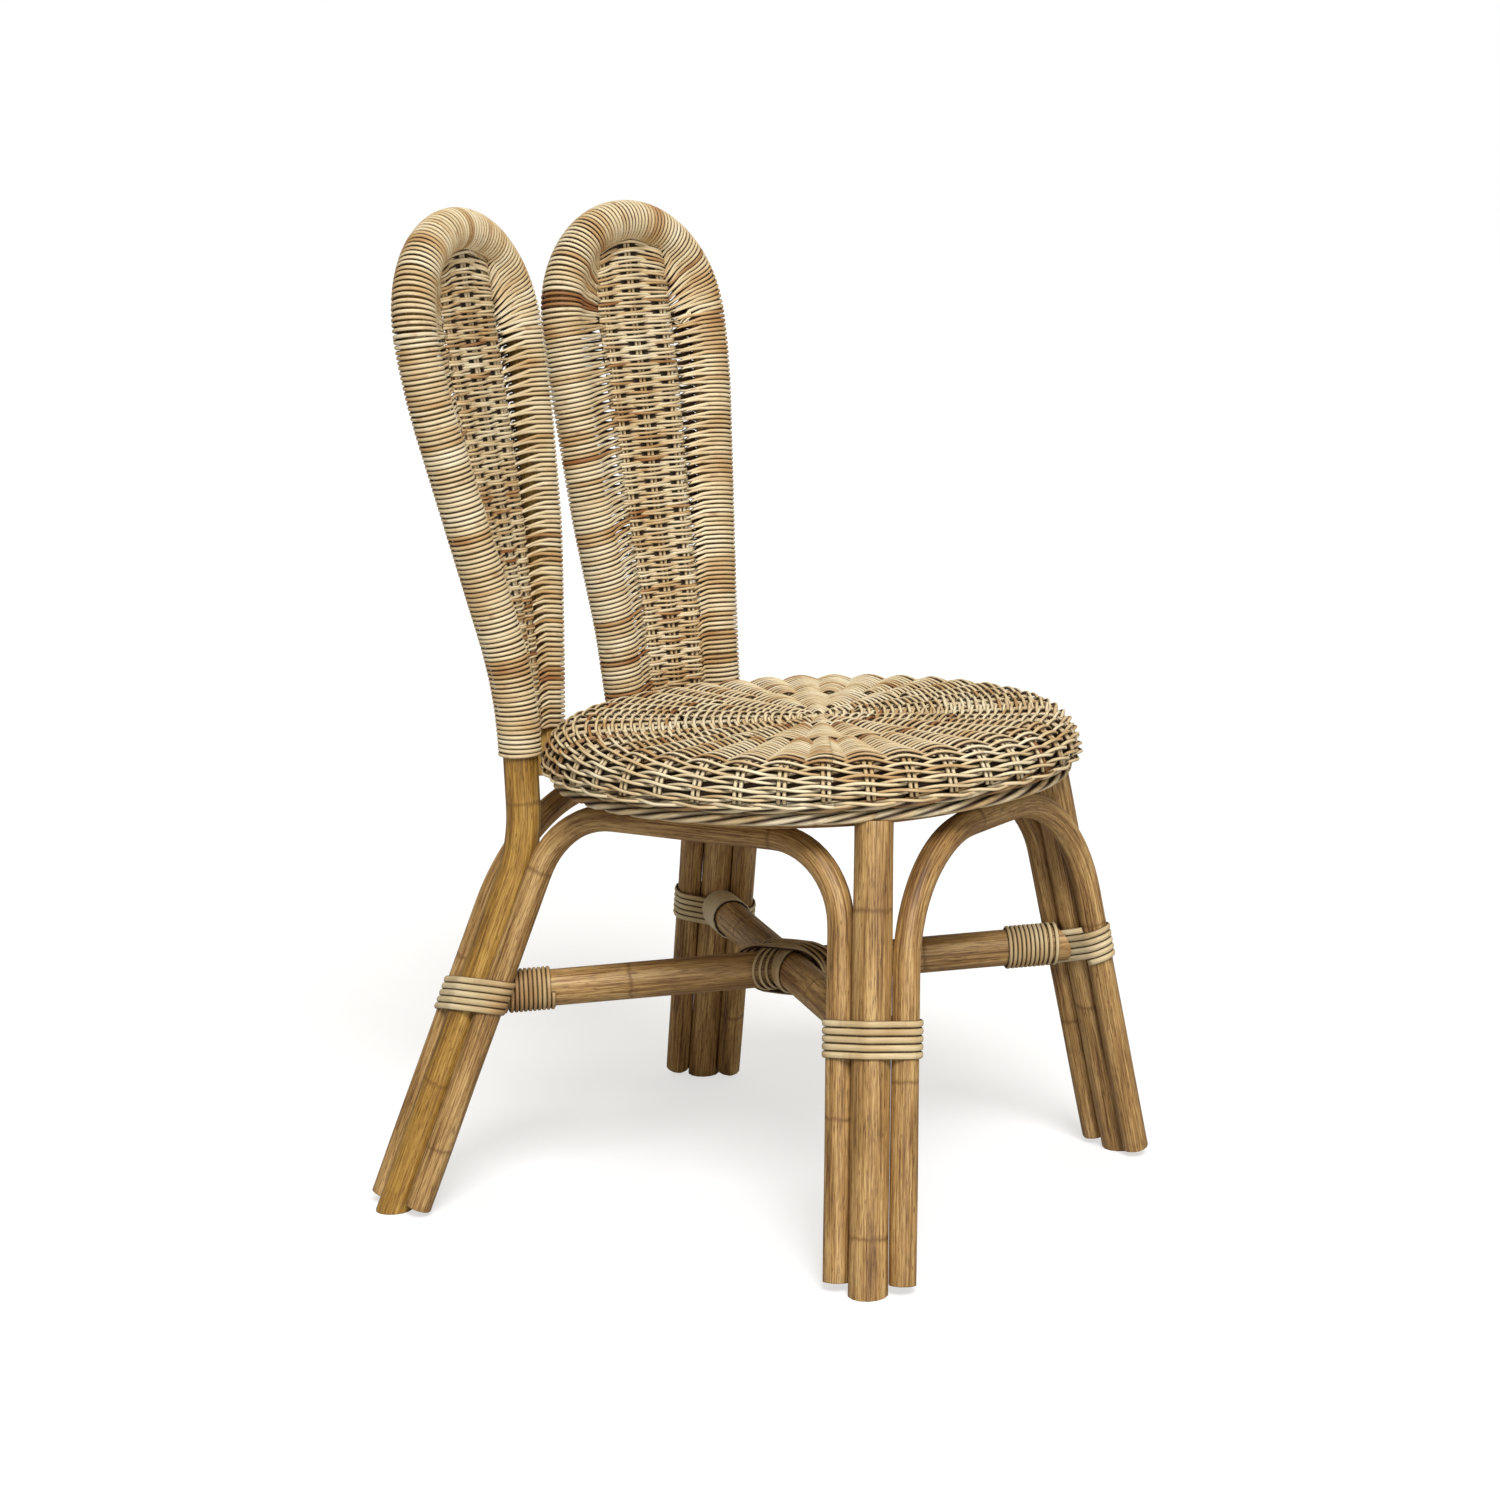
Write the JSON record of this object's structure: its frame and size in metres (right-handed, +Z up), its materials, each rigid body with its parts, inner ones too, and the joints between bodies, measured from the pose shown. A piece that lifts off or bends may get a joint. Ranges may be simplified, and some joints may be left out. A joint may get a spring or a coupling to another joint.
{
  "type": "child's rattan chair",
  "caption": "Small rattan chair with a round woven seat on splayed lashed pole legs and a back of two tall woven loops.",
  "frame": {"origin": "on the floor under the middle of the round seat", "axes": "+Z up, -Y the way the chair faces, +X to the viewer's right seen from the front"},
  "size_m": [0.3696, 0.4126, 0.6307],
  "materials": {
    "woven_cane": "matte",
    "cane_lashing": "satin",
    "rattan_pole": "satin"
  },
  "bodies": {
    "root": {"seat_weave": "woven_cane", "seat_border": "woven_cane", "left_ear_wrap": "woven_cane", "right_ear_wrap": "woven_cane", "left_ear_panel": "woven_cane", "right_ear_panel": "woven_cane", "leg_lashings": "cane_lashing", "stretcher_lashings": "cane_lashing", "seat_hoop": "rattan_pole", "front_arch": "rattan_pole", "back_arch": "rattan_pole", "left_arch": "rattan_pole", "right_arch": "rattan_pole", "left_front_leg": "rattan_pole", "right_front_leg": "rattan_pole", "left_front_stretcher": "rattan_pole", "right_front_stretcher": "rattan_pole", "left_ear_pole": "rattan_pole", "right_ear_pole": "rattan_pole"}
  },
  "joints": []
}
